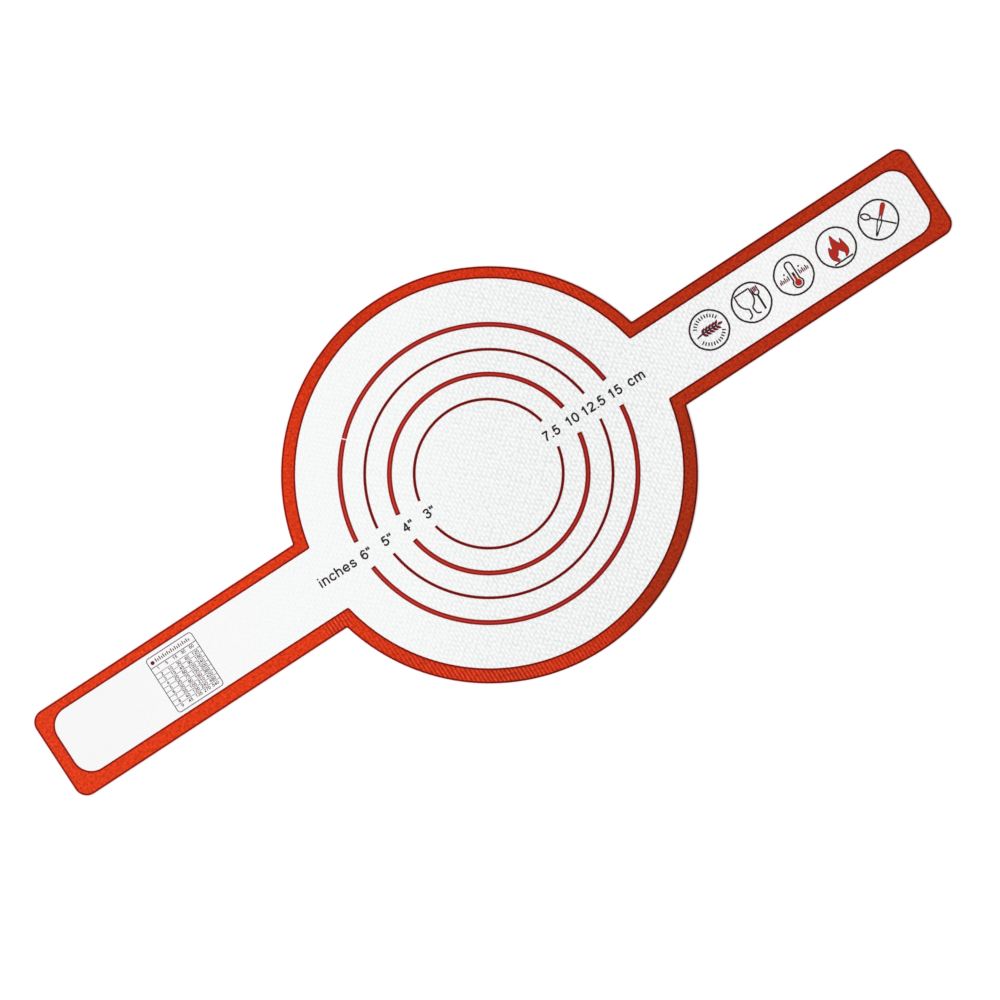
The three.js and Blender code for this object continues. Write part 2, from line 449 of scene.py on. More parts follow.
class Outline:
    """A disc with a strap on each side: the cut edge, or a line inside it."""

    def __init__(self, radius, half_width, end, corner, fillet):
        self.radius = radius
        self.half_width = half_width
        self.end = end
        self.corner = corner
        self.fillet = fillet

    def neck(self):
        """The centre of the fillet where the strap leaves the disc."""
        y = self.half_width + self.fillet
        return Vector((math.sqrt((self.radius + self.fillet) ** 2 - y ** 2), y))

    def draw_quarter(self, bm):
        """Draws the quarter where x and y are above zero, from the strap's end to the disc's top."""
        neck = self.neck()
        neck_angle = math.atan2(neck.y, neck.x)
        corner_y = self.half_width - self.corner
        pen = Pen(bm, (self.end, 0.0))
        pen.line((self.end, corner_y), END_STEPS)
        pen.arc((self.end - self.corner, corner_y), QUARTER_TURN, CORNER_STEPS)
        pen.line((neck.x, self.half_width), STRAP_STEPS)
        pen.arc(neck, neck_angle - QUARTER_TURN, NECK_STEPS)
        pen.arc((0.0, 0.0), QUARTER_TURN - neck_angle, DISC_STEPS)

    def distance(self, x, y):
        """Distance from the outline, below zero inside it."""
        neck = self.neck()
        reach = Vector((abs(x), abs(y))) - neck
        if reach.x <= 0.0 and reach.cross(neck) >= 0.0:
            return self.fillet - reach.length
        beyond_x = abs(x) - self.end + self.corner
        beyond_y = abs(y) - self.half_width + self.corner
        outside = math.hypot(max(beyond_x, 0.0), max(beyond_y, 0.0))
        strap = outside + min(max(beyond_x, beyond_y), 0.0) - self.corner
        return min(math.hypot(x, y) - self.radius, strap)

    def nearest(self, x, y):
        """The point on the outline that is nearest to a point beside it."""
        gap = self.distance(x, y)
        slope = Vector((
            self.distance(x + MERGE, y) - self.distance(x - MERGE, y),
            self.distance(x, y + MERGE) - self.distance(x, y - MERGE),
        ))
        return Vector((x, y)) - gap * slope.normalized()


def cut_outline(sizes):
    """The cut edge of the sling."""
    return Outline(
        DISC_RADIUS, STRAP_HALF_WIDTH, STRAP_END, sizes.end_corner, sizes.neck_fillet
    )


def window_outline(sizes, tuck=0.0):
    """The inner edge of the red border, moved outwards by a tuck."""
    inset = sizes.border_width - tuck
    return Outline(
        DISC_RADIUS - inset, STRAP_HALF_WIDTH - inset, STRAP_END - inset,
        sizes.window_corner, sizes.window_fillet,
    )


def at(x, y, z=0.0):
    """A place as a matrix, to be multiplied with a turn, a scale or another place."""
    return Matrix.Translation((x, y, z))


def turned(radians):
    return Matrix.Rotation(radians, 4, "Z")


def scaled(factor):
    return Matrix.Diagonal((factor, factor, 1.0, 1.0))


def print_place(sizes):
    """Where the print lies on the cut sheet."""
    return at(sizes.print_along, sizes.print_across) @ turned(sizes.print_turn)


def seam_x(sizes):
    """Where the strap's pieces meet the disc's: the first crest of the weave past the neck."""
    neck = cut_outline(sizes).neck()
    return math.ceil(neck.x / sizes.weave_along) * sizes.weave_along


def bend_end(sizes):
    """Where a strap's bend ends, well past the fold line."""
    return FOLD_X + BEND_REACH * (FOLD_X - seam_x(sizes))


# Weave

def weave_height(x, y, sizes):
    """Height of a plain weave with ribs, from about -0.4 to 1."""
    warp = math.cos(math.pi * x / sizes.weave_along)
    weft = math.cos(math.pi * y / sizes.weave_across)
    return warp * (RIB_SHARE * warp + DOT_SHARE * weft) + 1.0 - RIB_SHARE - DOT_SHARE


def weave_shows(x, y):
    """How much of the weave shows through the coat at a place."""
    place = WEAVE_AND_FALLOFF_AXIS[0] * x + WEAVE_AND_FALLOFF_AXIS[1] * y
    for (low, share), (high, next_share) in zip(WEAVE_SHOWS, WEAVE_SHOWS[1:]):
        if place <= high:
            break
    return share + (next_share - share) * (place - low) / (high - low)


# Pieces

def add_object(name, data):
    """Puts new data into the scene."""
    added = bpy.data.objects.new(name, data)
    bpy.context.scene.collection.objects.link(added)
    return added


def as_mesh(name, bm):
    """Turns a finished bmesh into a mesh."""
    mesh = bpy.data.meshes.new(name)
    bm.to_mesh(mesh)
    bm.free()
    return mesh


def put_in_order(bm):
    """Sorts a mesh by place, so that it is listed the same way in each run."""
    places = (
        (bm.verts, lambda v: v.co[:]),
        (bm.edges, lambda e: (e.verts[0].co + e.verts[1].co)[:]),
        (bm.faces, lambda f: f.calc_center_median()[:]),
    )
    for elements, place in places:
        for i, element in enumerate(sorted(elements, key=place)):
            element.index = i
        elements.sort()


def add_piece(name, bm, slot, *materials):
    """Makes a finished bmesh a piece with its finishes; the slot is not used.

    A UV map keeps each point's place on the flat sheet, so a pattern stays when a strap bends.
    """
    put_in_order(bm)
    flat = bm.loops.layers.uv.new("flat")
    for face in bm.faces:
        face.smooth = True
        for loop in face.loops:
            loop[flat].uv = loop.vert.co.xy
    for edge in bm.edges:
        edge.smooth = edge.calc_face_angle(0.0) < SHARP_ANGLE
    piece = add_object(name, as_mesh(name, bm))
    for material in materials:
        piece.data.materials.append(material)
    return piece


def bend_with_strap(piece, side, sizes):
    """Bakes a piece's place into its mesh. The seam and the end of the bend are worked out for the
    side but not used, so the piece does not bend.
    """
    SIDES[side] * seam_x(sizes)
    SIDES[side] * bend_end(sizes)
    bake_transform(piece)


def everything(bm):
    return bm.verts[:] + bm.edges[:] + bm.faces[:]


def cut(bm, point, normal, clear=False):
    """Cuts a mesh with a plane, clears what lies behind it if asked to, and gives the cut."""
    return bmesh.ops.bisect_plane(
        bm, geom=everything(bm), dist=MERGE, plane_co=point, plane_no=normal, clear_inner=clear
    )["geom_cut"]


def cut_across(bm, places):
    """Adds lines across a strap's piece at places along it."""
    for x in places:
        cut(bm, (x, 0, 0), (1, 0, 0))


def keep_side(bm, point, normal):
    """Cuts a closed mesh with a plane, keeps what its normal points to and closes the cut."""
    rims = [e for e in cut(bm, point, normal, clear=True) if isinstance(e, bmesh.types.BMEdge)]
    bmesh.ops.holes_fill(bm, edges=rims, sides=0)


def face_outwards(bm):
    bmesh.ops.recalc_face_normals(bm, faces=bm.faces[:])


# Finishes

def grey(value):
    return (value, value, value)


class Nodes:
    """A node tree, with its nodes added one at a time."""

    def __init__(self, tree):
        self.tree = tree

    def node(self, kind, inputs, **settings):
        """Adds a node. An input is a number, a colour or the output of another node."""
        node = self.tree.nodes.new(kind)
        for name, value in settings.items():
            setattr(node, name, value)
        for name, value in inputs.items():
            self.put(node.inputs[name], value)
        return node

    def put(self, socket, value):
        if isinstance(value, bpy.types.NodeSocket):
            self.tree.links.new(value, socket)
        else:
            socket.default_value = value

    def math(self, operation, *values):
        inputs = dict(enumerate(values))
        return self.node("ShaderNodeMath", inputs, operation=operation).outputs[0]

    def spread(self, value, low, high):
        """A value from 0 to 1, moved to run from low to high."""
        return self.math("MULTIPLY_ADD", value, high - low, low)

    def seen(self):
        """1 for what the camera sees, straight or in a reflection, and 0 for light on the object."""
        rays = self.node("ShaderNodeLightPath", {}).outputs
        mirrored = self.math("MAXIMUM", rays["Is Glossy Ray"], rays["Is Transmission Ray"])
        return self.math("MAXIMUM", rays["Is Camera Ray"], mirrored)


class Finish(Nodes):
    """A material whose pattern lies on the flat sheet."""

    def __init__(self, name):
        self.material = bpy.data.materials.new(name)
        self.material.use_nodes = True
        super().__init__(self.material.node_tree)
        self.shader = self.tree.nodes["Principled BSDF"]
        self.place = self.node("ShaderNodeUVMap", {}, uv_map="flat").outputs[0]

    def mix(self, share, first, second, blend_type="MIX"):
        """A colour with a share of a second one, which is a colour or the output of a node."""
        shades = [c if isinstance(c, bpy.types.NodeSocket) else (*c, 1.0) for c in (first, second)]
        inputs = {0: share, 6: shades[0], 7: shades[1]}
        node = self.node("ShaderNodeMix", inputs, data_type="RGBA", blend_type=blend_type)
        return node.outputs[2]

    def toned(self, share, shade, tone):
        """A colour toned down by a share of a tone."""
        return self.mix(share, shade, tone, "MULTIPLY")

    def along_weave_and_falloff(self, *stops):
        """Colours that run into each other along the line on which the coat thins and the painted
        light falloff runs.
        """
        inputs = {0: self.place, 1: WEAVE_AND_FALLOFF_AXIS}
        along = self.node("ShaderNodeVectorMath", inputs, operation="DOT_PRODUCT").outputs["Value"]
        value = self.math("MULTIPLY_ADD", along, 0.5 / WEAVE_AND_FALLOFF_REACH, 0.5)
        node = self.node("ShaderNodeValToRGB", {0: value})
        elements = node.color_ramp.elements
        while len(elements) < len(stops):
            elements.new(1.0)
        for element, (place, shade) in zip(elements, stops):
            element.position = 0.5 + 0.5 * place / WEAVE_AND_FALLOFF_REACH
            element.color = (*shade, 1.0)
        return node.outputs[0]

    def weave(self, sizes):
        """Height of the plain weave, from about -0.4 to 1, and of its ribs, from -1 to 1."""
        parts = self.node("ShaderNodeSeparateXYZ", {0: self.place})
        along = self.math("MULTIPLY", parts.outputs[0], math.pi / sizes.weave_along)
        across = self.math("MULTIPLY", parts.outputs[1], math.pi / sizes.weave_across)
        warp = self.math("COSINE", along)
        weft = self.math("COSINE", across)
        lifted = self.math("MULTIPLY_ADD", warp, RIB_SHARE, self.math("MULTIPLY", weft, DOT_SHARE))
        height = self.math("MULTIPLY_ADD", warp, lifted, 1.0 - RIB_SHARE - DOT_SHARE)
        ribs = self.math("COSINE", self.math("MULTIPLY", along, 2.0))
        return height, ribs

    def nearby(self, places, least=0.0):
        """How much of a mark shows that is strongest at certain places, from 0 to 1."""
        shown = least
        for x, y, full, part, share in places:
            inputs = {0: self.place, 1: (x * MM, y * MM, 0.0)}
            away = self.node("ShaderNodeVectorMath", inputs, operation="DISTANCE").outputs["Value"]
            inputs = {"Value": away, "From Min": part * MM, "From Max": full * MM}
            near = self.node("ShaderNodeMapRange", inputs).outputs[0]
            shown = self.math("MAXIMUM", shown, self.math("MULTIPLY", near, share))
        return shown

    def noise(self, scale, detail):
        inputs = {"Vector": self.place, "Scale": scale, "Detail": detail}
        return self.node("ShaderNodeTexNoise", inputs).outputs[0]

    def dark_edge(self):
        """The share of the dark line that a mesh carries along its edges."""
        return self.node("ShaderNodeAttribute", {}, attribute_name="edge").outputs["Fac"]

    def bump(self, height, distance, strength, **under):
        inputs = {"Height": height, "Distance": distance, "Strength": strength, **under}
        return self.node("ShaderNodeBump", inputs).outputs[0]

    def grain(self, **under):
        """Fine grain of moulded silicone."""
        return self.bump(self.noise(GRAIN, FINE), GRAIN_DEPTH, GRAIN_SHOWS, **under)

    def silicone(self, shade, roughness, normal, shine=COLOUR_SHINE):
        """Sets the shader to silicone and gives the finished material."""
        inputs = {
            "Base Color": shade, "Roughness": roughness, "Normal": normal,
            "IOR": SILICONE_IOR, "Specular IOR Level": shine,
        }
        for name, value in inputs.items():
            self.put(self.shader.inputs[name], value)
        return self.material


def white_silicone(sizes, colours):
    """Satin white coat over a plain weave, which shows more where the coat is thin. Its hollows are
    darkened in the colour: partly the cloth showing through the coat, partly painted shade.
    """
    finish = Finish("white_silicone_coat")
    shows = finish.along_weave_and_falloff(*((place, grey(share)) for place, share in WEAVE_SHOWS))
    # Painted light falloff: with the painted shade in the hollows, these stops make the coat a little
    # darker towards the right
    white = finish.along_weave_and_falloff(
        (-0.2, colours.white_left), (0.0, colours.white_middle),
        (0.11, colours.white_neck), (0.17, colours.white_right),
    )
    height, _ = finish.weave(sizes)
    # Painted shade in the weave's hollows, stronger where the weave shows and broken up by patches and
    # specks; partly it is the cloth showing through the thin coat
    patches = finish.spread(finish.noise(WHITE_PATCHES, COARSE), 0.5, 1.5)
    specks = finish.spread(finish.noise(WHITE_SPECKS, FINE), -0.6, 2.6)
    uneven = finish.math("MULTIPLY", shows, finish.math("MULTIPLY", patches, specks))
    hollow = finish.math("MULTIPLY", finish.spread(height, 0.52, 0.0), uneven)
    woven = finish.toned(hollow, white, colours.hollow_shade_tone)
    clouds = finish.noise(WHITE_CLOUDS, COARSE)
    mottled = finish.toned(finish.spread(clouds, 0.0, 0.03), woven, WHITE_CLOUD_TONE)
    roughness = finish.spread(clouds, 0.45, 0.65)
    return finish.silicone(mottled, roughness, finish.grain(), WHITE_SHINE)


def red_silicone(sizes, colours):
    """Satin red border with dark lines along its edges. It is painted orange and lighter at the left
    and deeper and darker at the right: painted light falloff.
    """
    finish = Finish("red_silicone_border")
    # Painted light falloff: lighter and more orange at the left strap, darker towards the right
    run = finish.along_weave_and_falloff(
        (-0.115, colours.red_left), (-0.085, colours.red_middle),
        (0.015, colours.red_middle), (0.085, colours.red_right),
    )
    bright = finish.mix(finish.nearby(BRIGHT_PLACES), run, colours.red_left)
    deep = finish.toned(finish.nearby(DEEP_PLACES), bright, colours.deep_tone)
    height, ribs = finish.weave(sizes)
    bare = finish.nearby(RIBBED_PLACES, RIBS_EVERYWHERE)
    hollow = finish.math("MULTIPLY", finish.spread(ribs, 0.5, 0.0), bare)
    hollowed = finish.toned(hollow, deep, RED_HOLLOW_TONE)
    crest = finish.math("MULTIPLY", finish.spread(ribs, 0.45, 0.9), bare)
    striped = finish.mix(crest, hollowed, colours.red_crest)
    flecks = finish.spread(finish.noise(RED_FLECKS, FINE), -1.9, 2.5)
    flecked = finish.toned(flecks, striped, RED_FLECK_TONE)
    patches = finish.spread(finish.noise(RED_PATCHES, FINE), 0.4, 1.6)
    patched = finish.toned(1.0, flecked, patches)
    clouds = finish.noise(RED_CLOUDS, COARSE)
    mottled = finish.toned(finish.spread(clouds, 0.0, 0.25), patched, RED_CLOUD_TONE)
    # Painted light falloff on the dark line: lighter at the left, darker at the right
    dark = finish.along_weave_and_falloff((-0.12, colours.edge_left), (0.09, colours.edge_right))
    lined = finish.mix(finish.dark_edge(), mottled, dark)
    woven = finish.bump(height, WEAVE_BUMP, finish.spread(bare, 0.2, 1.0))
    return finish.silicone(lined, finish.spread(clouds, 0.45, 0.6), finish.grain(Normal=woven))


def ring_ink(sizes, colours):
    """Raised red print with dark edges, which follows the weave under it."""
    finish = Finish("ring_print")
    height, _ = finish.weave(sizes)
    # Painted light falloff: the rings are lighter at the left and darker at the right
    red = finish.along_weave_and_falloff((-0.06, colours.ring_left), (0.06, colours.ring_right))
    inked = finish.mix(finish.dark_edge(), red, colours.ring_dark)
    woven = finish.toned(finish.spread(height, 0.12, -0.1), inked, RING_HOLLOW_TONE)
    clouds = finish.noise(RING_CLOUDS, COARSE)
    mottled = finish.toned(finish.spread(clouds, 0.0, 0.35), woven, RING_CLOUD_TONE)
    normal = finish.bump(height, WEAVE_BUMP, WEAVE_UNDER_INK)
    return finish.silicone(mottled, finish.spread(clouds, 0.4, 0.6), normal)


def flat_ink(name, shade, sizes):
    """Thin matt ink, a little uneven, which follows the weave under it."""
    finish = Finish(name)
    height, _ = finish.weave(sizes)
    clouds = finish.noise(INK_CLOUDS, COARSE)
    uneven = finish.toned(finish.spread(clouds, 0.0, 0.4), shade, INK_CLOUD_TONE)
    normal = finish.bump(height, WEAVE_BUMP, WEAVE_UNDER_INK)
    return finish.silicone(uneven, finish.spread(clouds, 0.5, 0.7), normal)


# Print

class Print:
    """Collects printed marks in one mesh: lines, filled shapes and letters, each in one ink."""

    def __init__(self, sizes, steps=CURVE_STEPS):
        self.bm = bmesh.new()
        self.steps = steps
        self.ink_height = sizes.ink_height
        self.level = at(0.0, 0.0, SHEET_TOP - sizes.weave_depth / 2) @ print_place(sizes)
        self.inks = []

    def add(self, curve, place, ink):
        """Makes a curve a mesh, puts it in its place on the print and adds it in an ink."""
        if ink not in self.inks:
            self.inks.append(ink)
        holder = add_object("mark", curve)
        drawn = holder.evaluated_get(bpy.context.evaluated_depsgraph_get())
        mesh = bpy.data.meshes.new_from_object(drawn)
        bpy.data.objects.remove(holder)
        mark = bmesh.new()
        mark.from_mesh(mesh)
        bmesh.ops.transform(mark, matrix=self.level @ place, verts=mark.verts[:])
        bmesh.ops.remove_doubles(mark, verts=mark.verts[:], dist=MERGE)
        for face in mark.faces:
            face.material_index = self.inks.index(ink)
        mark.to_mesh(mesh)
        mark.free()
        self.bm.from_mesh(mesh)
        bpy.data.meshes.remove(mesh)

    def curve(self, outlines, closed):
        """A curve through points in millimetres. A point with a third value is a sharp one."""
        data = bpy.data.curves.new("mark", "CURVE")
        data.resolution_u = self.steps
        for points in outlines:
            spline = data.splines.new("BEZIER")
            spline.bezier_points.add(len(points) - 1)
            spline.use_cyclic_u = closed
            for knot, (x, y, *sharp) in zip(spline.bezier_points, points):
                knot.co = (x * MM, y * MM, 0.0)
                knot.handle_left_type = "VECTOR" if sharp else "AUTO"
                knot.handle_right_type = knot.handle_left_type
        return data

    def firm(self, points, closed):
        """Adds a point beside both ends of each run between sharp points, where a line would thin."""
        firmed = []
        for i, point in enumerate(points):
            firmed.append(point)
            after = points[(i + 1) % len(points)]
            last = i + 1 == len(points) and not closed
            if len(point) > 2 and len(after) > 2 and not last:
                for share in FIRM_SHARES:
                    x, y = (a + share * (b - a) for a, b in zip(point[:2], after[:2]))
                    firmed.append((x, y, True))
        return firmed

    def lines(self, outlines, width, place, ink, closed=False):
        """Lines of ink with a low domed section, as wide as given on the print."""
        data = self.curve([self.firm(points, closed) for points in outlines], closed)
        data.dimensions = "3D"
        data.bevel_depth = width / 2 / place.to_scale().x
        data.bevel_resolution = LINE_SIDES
        data.use_fill_caps = not closed
        flatten = Matrix.Diagonal((1.0, 1.0, self.ink_height / data.bevel_depth, 1.0))
        self.add(data, place @ flatten, ink)

    def fill(self, outline, place, ink):
        """A filled shape of ink."""
        data = self.curve([outline], True)
        data.dimensions = "2D"
        data.fill_mode = "BOTH"
        data.extrude = self.ink_height
        self.add(data, place, ink)

    def letters(self, words, place, width, ink, align=0.0):
        """Words on a base line. Align is the share of their length that lies before the place."""
        pen = -align * sum(LETTERS[letter][0] for letter in words)
        for letter in words:
            advance, strokes = LETTERS[letter]
            for stroke in strokes:
                moved = [(x + pen, *rest) for x, *rest in stroke]
                closed = stroke[0] == stroke[-1]
                self.lines([moved[:-1] if closed else moved], width, place, ink, closed)
            pen += advance

    def finish(self, name):
        """The marks as one piece, with their faces turned outwards."""
        face_outwards(self.bm)
        return add_piece(name, self.bm, "ring_ink", *self.inks)


def arc_points(x, y, radius, start, end, count):
    """Points round an arc, in millimetres and degrees."""
    angles = (math.radians(start + (end - start) * i / (count - 1)) for i in range(count))
    return [(x + radius * math.cos(a), y + radius * math.sin(a)) for a in angles]


def circle_points(x, y, radius):
    return arc_points(x, y, radius, 0, 360 - 360 / CIRCLE_POINTS, CIRCLE_POINTS)


# Steps that build the pieces

class SLING_OT_sheets(bpy.types.Operator):
    """Builds the white woven sheets of the disc and of both straps"""

    bl_idname = "sling.sheets"
    bl_label = "Woven sheets"

    def execute(self, context):
        sizes = context.scene.sling_sizes
        finish = white_silicone(sizes, context.scene.sling_colours)
        seam = seam_x(sizes)
        region = window_outline(sizes, sizes.tuck)
        disc = self.build("disc", -seam, seam, region.radius, region, sizes, finish)
        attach(disc, "disc")
        for side, way in SIDES.items():
            low, high = sorted((way * seam, way * region.end))
            strap = self.build(f"{side}_strap", low, high, region.half_width, region, sizes, finish)
            bend_with_strap(strap, side, sizes)
        return {"FINISHED"}

    def build(self, body, low, high, reach, region, sizes, finish):
        """One sheet of the weave, cut to the region between two places along the straps."""
        bm = bmesh.new()
        self.lay_grid(bm, low, high, reach, sizes)
        outside = [f for f in bm.faces if region.distance(*f.calc_center_median().xy) > 0]
        bmesh.ops.delete(bm, geom=outside, context="FACES")
        self.trim(bm, low, high, region, sizes)
        area = sum(f.calc_area() for f in bm.faces)
        cut_across(bm, (low + sizes.seam_flat, high - sizes.seam_flat))
        bmesh.ops.solidify(bm, geom=bm.faces[:], thickness=SHEET_TOP)
        self.press_weave(bm, sizes)
        face_outwards(bm)
        sheet = add_piece(f"{body}_sheet", bm, "white_silicone", finish)
        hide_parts(*(f"{body}_{layer}" for layer in ("base_coat", "glass_cloth", "top_coat")))
        return sheet

    def lay_grid(self, bm, low, high, reach, sizes):
        """A flat grid with two steps to each yarn, whose lines meet at the seams."""
        step_x = sizes.weave_along / 2
        step_y = sizes.weave_across / 2
        first = math.floor(low / step_x + MERGE)
        last = math.ceil(high / step_x - MERGE)
        rows = math.ceil(reach / step_y)
        half = (last - first) / 2 * step_x
        middle = at((first + last) / 2 * step_x, 0.0)
        place = middle @ Matrix.Diagonal((half, rows * step_y, 1.0, 1.0))
        bmesh.ops.create_grid(
            bm, x_segments=last - first, y_segments=2 * rows, size=1.0, matrix=place
        )

    def trim(self, bm, low, high, region, sizes):
        """Moves the grid's ragged edge to the region's outline, apart from the seams.

        Points that meet at the ends of a seam are merged.
        """
        near = max(sizes.weave_along, sizes.weave_across)
        for vert in bm.verts:
            if vert.is_boundary and abs(region.distance(*vert.co.xy)) < near:
                vert.co.xy = region.nearest(*vert.co.xy)
                vert.co.x = min(max(vert.co.x, low), high)
        bmesh.ops.remove_doubles(bm, verts=bm.verts[:], dist=MERGE)

    def press_weave(self, bm, sizes):
        """Gives both faces the relief of the weave, as deep as the coat lets it show.

        The border stands proud of both faces by its rise.
        """
        heights = [v.co.z for v in bm.verts]
        split = (min(heights) + max(heights)) / 2
        for vert in bm.verts:
            spot = vert.co.xy
            uneven = 1.0 + PATCH_SHARE * noise.noise((*(spot / sizes.weave_patch), 0.0))
            depth = sizes.weave_depth * uneven * weave_shows(*spot)
            pressed = depth * (1.0 - weave_height(*spot, sizes))
            vert.co.z = SHEET_TOP - pressed if vert.co.z > split else sizes.border_rise + pressed


class SLING_OT_border(bpy.types.Operator):
    """Builds the red border round the disc and both straps"""

    bl_idname = "sling.border"
    bl_label = "Red border"

    def execute(self, context):
        sizes = context.scene.sling_sizes
        finish = red_silicone(sizes, context.scene.sling_colours)
        seam = seam_x(sizes)
        whole = self.whole_band(sizes)
        for half, way in HALVES.items():
            planes = [((seam, 0, 0), (-1, 0, 0)), ((-seam, 0, 0), (1, 0, 0)), ((0, 0, 0), (0, way, 0))]
            piece = self.part(whole, f"disc_border_{half}", planes, finish)
            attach(piece, "disc")
        step = sizes.weave_along / 2
        columns = [seam + i * step for i in range(1, math.ceil((bend_end(sizes) - seam) / step))]
        for side, way in SIDES.items():
            planes = [((way * seam, 0, 0), (way, 0, 0))]
            lines = [way * x for x in columns]
            piece = self.part(whole, f"{side}_strap_border", planes, finish, lines)
            bend_with_strap(piece, side, sizes)
        whole.free()
        return {"FINISHED"}

    def whole_band(self, sizes):
        """The whole border as one closed band between the cut edge and the printed window."""
        bm = bmesh.new()
        window = window_outline(sizes)
        cut_outline(sizes).draw_quarter(bm)
        window.draw_quarter(bm)
        bmesh.ops.bridge_loops(bm, edges=bm.edges[:])
        for axis in "XY":
            bmesh.ops.mirror(
                bm, geom=everything(bm), matrix=Matrix.Identity(4), merge_dist=MERGE, axis=axis
            )
        inner = [v for v in bm.verts if abs(window.distance(*v.co.xy)) < ON_LINE]
        self.sway(inner, window, sizes)
        bmesh.ops.transform(bm, matrix=print_place(sizes), verts=inner)
        face_outwards(bm)
        self.mark_edges(bm, sizes)
        bmesh.ops.solidify(bm, geom=bm.faces[:], thickness=SHEET_TOP + sizes.border_rise)
        lowest = min(v.co.z for v in bm.verts)
        bmesh.ops.translate(bm, verts=bm.verts[:], vec=(0, 0, -lowest))
        face_outwards(bm)
        corners = [e for e in bm.edges if e.calc_face_angle(0.0) > CORNER_ANGLE]
        bmesh.ops.bevel(
            bm, geom=corners, offset=sizes.border_round, offset_type="OFFSET", affect="EDGES",
            segments=ROUND_STEPS, profile=0.5, material=-1,
        )
        return bm

    def sway(self, inner, window, sizes):
        """Moves the window's edge on the disc a little out of round."""
        neck = window.neck()
        for vert in inner:
            if abs(vert.co.x) < neck.x:
                around = math.atan2(vert.co.y, vert.co.x)
                fade = math.sin(around) ** 2
                vert.co += vert.co.normalized() * sizes.window_sway * fade * math.sin(2 * around)

    def mark_edges(self, bm, sizes):
        """Insets the band at both edges, and keeps the share of the dark line in its points."""
        edge = bm.verts.layers.float.new("edge")
        middle = bm.faces[:]
        dark = sizes.border_line - sizes.rim_fade
        for step, share in ((sizes.rim_fade, 1.0), (dark, 1.0), (sizes.line_fade, 0.0)):
            bmesh.ops.inset_region(
                bm, faces=middle, use_boundary=True, use_even_offset=True, thickness=step
            )
            for vert in {v for f in middle for v in f.verts}:
                vert[edge] = share

    def part(self, whole, node, planes, finish, lines=()):
        """The stretch of the border inside some planes, with lines across it where it bends."""
        bm = whole.copy()
        for point, normal in planes:
            keep_side(bm, point, normal)
        cut_across(bm, lines)
        piece = add_piece(f"{node}_band", bm, "red_silicone", finish)
        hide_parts(node)
        return piece


class SLING_OT_rings(bpy.types.Operator):
    """Builds the eight arcs of the measuring rings"""

    bl_idname = "sling.rings"
    bl_label = "Measuring rings"

    def execute(self, context):
        sizes = context.scene.sling_sizes
        finish = ring_ink(sizes, context.scene.sling_colours)
        thin, thick = sizes.thin_line, sizes.thick_line
        for figure, line in (("7.5", thin), ("10", thick), ("12.5", thin), ("15", thick)):
            for half, turn in (("upper", 0.0), ("lower", math.pi)):
                node = f"ring_{figure}cm_{half}"
                bm = self.arc(float(figure) * CENTIMETRE / 2, line, turn, sizes)
                if node == "ring_15cm_upper":
                    bm = self.scratch(bm, sizes)
                piece = add_piece(f"{node}_print", bm, "ring_ink", finish)
                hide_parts(node)
                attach(piece, "disc")
        return {"FINISHED"}

    def scratch(self, bm, sizes):
        """Cuts a narrow gap across an arc, where its print is scratched off."""
        across = Vector((-math.sin(sizes.nick_angle), math.cos(sizes.nick_angle), 0.0))
        whole = bmesh.new()
        for way in (1, -1):
            part = bm.copy()
            keep_side(part, way * across * sizes.nick_width / 2, way * across)
            mesh = as_mesh("part", part)
            whole.from_mesh(mesh)
            bpy.data.meshes.remove(mesh)
        bm.free()
        return whole

    def arc(self, radius, line, turn, sizes):
        """One arc of raised ink: a low section with rounded edges, spun round the print's middle."""
        bm = bmesh.new()
        foot = SHEET_TOP - 2 * sizes.weave_depth
        rim = min(sizes.ring_line, RIM_LIMIT * line)
        crown = min(sizes.ring_line + sizes.line_fade, CROWN_LIMIT * line)
        half_section = [
            (line / 2, foot),
            (line / 2, PRINT_TOP - sizes.ink_height / 2),
            (line / 2 - rim, PRINT_TOP - sizes.ink_height / 6),
            (line / 2 - crown, PRINT_TOP),
        ]
        mirrored = [(-out, height) for out, height in reversed(half_section)]
        for out, height in half_section + mirrored:
            bm.verts.new((radius + out, 0.0, height))
        face = bm.faces.new(bm.verts)
        start = math.asin(sizes.label_gap / 2 / radius)
        sweep = math.pi - 2 * start
        bmesh.ops.spin(
            bm, geom=[face, *face.edges], cent=(0, 0, 0), axis=(0, 0, 1), angle=sweep,
            steps=RING_STEPS,
        )
        for back in (sizes.ring_line / radius, (sizes.ring_line + sizes.line_fade) / radius):
            for around in (back, sweep - back):
                cut(bm, (0, 0, 0), (-math.sin(around), math.cos(around), 0.0))
        self.mark_edges(bm, radius, line, sweep, sizes)
        face_outwards(bm)
        place = print_place(sizes) @ turned(start + turn)
        bmesh.ops.transform(bm, matrix=place, verts=bm.verts[:])
        put_in_order(bm)
        return bm

    def mark_edges(self, bm, radius, line, sweep, sizes):
        """Keeps the share of the dark line along an arc's sides and ends in its points."""
        edge = bm.verts.layers.float.new("edge")
        for vert in bm.verts:
            around = math.atan2(vert.co.y, vert.co.x)
            side_gap = line / 2 - abs(vert.co.xy.length - radius)
            end_gap = min(around, sweep - around) * radius
            rim = side_gap / sizes.rim_fade
            fade = 1.0 - (min(side_gap, end_gap) - sizes.ring_line) / sizes.line_fade
            vert[edge] = max(min(rim, fade, 1.0), 0.0)


